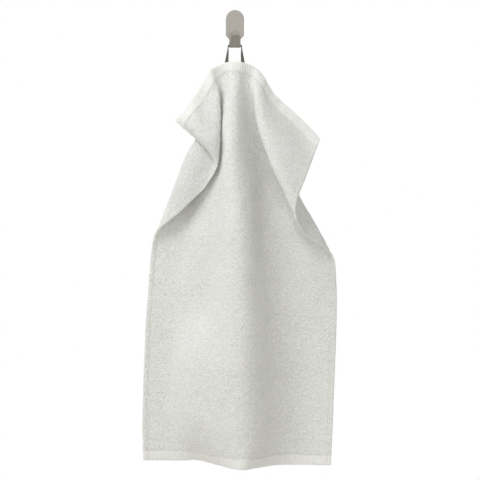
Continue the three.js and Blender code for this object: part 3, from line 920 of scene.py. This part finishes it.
tape_flat = np.stack(np.meshgrid(reaches, run), -1)
edge = np.interp(abs(reaches), (3.3, 3.75, 4), (1, 0.86, 0.5))
tape_thickness = np.tile(edge * TAPE / 2, (TAPE_LINES, 1))
tape = new_sheet("twill_tape_loop", tape_places, tape_flat, tape_thickness, TAPE)

# Twill tape: undyed grey-brown cotton, woven so that fine slanting ribs cross it. The ribs are
# drawn a little wider than the real ones, so that they are still there at this distance.
# The wave pattern repeats once in WAVE_SCALE divided by its scale.
twill_cotton, tree, shader = new_finish("cotton_twill_tape")
TWILL_RIB = 0.9 * MM
WAVE_SCALE = 0.314
flat = add_node(tree, "ShaderNodeUVMap", uv_map="flat")
slant = add_node(
    tree, "ShaderNodeTexWave", {"Vector": flat.outputs["UV"]}, bands_direction="DIAGONAL",
    inputs={
        "Scale": WAVE_SCALE / TWILL_RIB, "Distortion": 0.6, "Detail": 1.0, "Detail Scale": 2.0,
    },
)
weave = add_node(tree, "ShaderNodeMix", {"Factor": slant.outputs["Fac"]}, data_type="RGBA")
weave.inputs["A"].default_value = linear_colour("#4c4a44")
weave.inputs["B"].default_value = linear_colour("#68655e")
tree.links.new(weave.outputs["Result"], shader.inputs["Base Color"])
ribs = add_node(
    tree, "ShaderNodeBump", {"Height": slant.outputs["Fac"]},
    inputs={"Strength": 0.5, "Distance": 0.2 * MM},
)
tree.links.new(ribs.outputs["Normal"], shader.inputs["Normal"])
shader.inputs["Roughness"].default_value = 0.9
shader.inputs["Sheen Weight"].default_value = 0.1
tape.data.materials.append(twill_cotton)
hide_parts("hanging_loop")
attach(tape, "root")


# Stage. A pale floor well below the towel, a white room that is a little brighter at the upper
# left, one large soft light from there and a weak one from the front. What the metal mirrors
# is darker towards the floor.
FLOOR_HEIGHT = -1.45
floor_mesh = bmesh.new()
bmesh.ops.create_circle(floor_mesh, cap_ends=True, segments=64, radius=2.4)
floor = bpy.data.objects.new("floor", bpy.data.meshes.new("floor"))
bmesh.ops.translate(floor_mesh, verts=floor_mesh.verts[:], vec=(0, 0, FLOOR_HEIGHT))
floor_mesh.to_mesh(floor.data)
floor_mesh.free()
bpy.context.scene.collection.objects.link(floor)
pale_paint, tree, shader = new_finish("pale_floor_paint")
shader.inputs["Base Color"].default_value = linear_colour("#eeece8")
shader.inputs["Roughness"].default_value = 0.8
floor.data.materials.append(pale_paint)

world = bpy.data.worlds.new("white_room")
world.use_nodes = True
bpy.context.scene.world = world
tree = world.node_tree
for node in list(tree.nodes):
    tree.nodes.remove(node)
path = add_node(tree, "ShaderNodeLightPath")
toward = add_node(tree, "ShaderNodeTexCoord")
BRIGHT_SIDE = Vector((-0.8, -0.25, 0.55)).normalized()
brightness = add_node(
    tree, "ShaderNodeVectorMath", {0: toward.outputs["Generated"]}, operation="DOT_PRODUCT",
    inputs={1: BRIGHT_SIDE},
)
strength = add_node(
    tree, "ShaderNodeMapRange", {"Value": brightness.outputs["Value"]},
    inputs={"From Min": -1.0, "From Max": 1.0, "To Min": 0.43, "To Max": 0.6},
)
WARM_WHITE = (1, 0.985, 0.96, 1)
ambient = add_node(
    tree, "ShaderNodeBackground", {"Strength": strength.outputs["Result"]},
    inputs={"Color": WARM_WHITE},
)
direction = add_node(tree, "ShaderNodeSeparateXYZ", {"Vector": toward.outputs["Generated"]})
mirrored = add_node(
    tree, "ShaderNodeMapRange", {"Value": direction.outputs["Z"]},
    inputs={"From Min": -0.35, "From Max": 0.08, "To Min": 0.1, "To Max": 0.76},
)
shown_in_metal = add_node(
    tree, "ShaderNodeBackground", {"Strength": mirrored.outputs["Result"]},
    inputs={"Color": WARM_WHITE},
)
white = add_node(tree, "ShaderNodeBackground", inputs={"Color": (1, 1, 1, 1), "Strength": 1.0})
lit = add_node(tree, "ShaderNodeMixShader", {
    "Fac": path.outputs["Is Glossy Ray"], 1: ambient.outputs[0], 2: shown_in_metal.outputs[0],
})
seen = add_node(tree, "ShaderNodeMixShader", {
    "Fac": path.outputs["Is Camera Ray"], 1: lit.outputs[0], 2: white.outputs[0],
})
add_node(tree, "ShaderNodeOutputWorld", {"Surface": seen.outputs[0]})

CLOTH_MIDDLE = Vector((0, -0.05, -0.4))
LAMPS = (
    # name, place, size across in metres, power in watts
    ("key_light", (-1.05, -1.2, 1.2), 1.4, 24),
    ("front_light", (0.15, -2.2, -0.2), 1.2, 4),
)
for name, place, across, power in LAMPS:
    lamp = bpy.data.objects.new(name, bpy.data.lights.new(name, "AREA"))
    lamp.data.shape = "DISK"
    lamp.data.size = across
    lamp.data.energy = power
    lamp.data.color = (0.985, 1.0, 0.99)
    lamp.location = place
    lamp.rotation_euler = (CLOTH_MIDDLE - lamp.location).to_track_quat("-Z", "Y").to_euler()
    bpy.context.scene.collection.objects.link(lamp)
bpy.context.scene.view_settings.view_transform = "Standard"
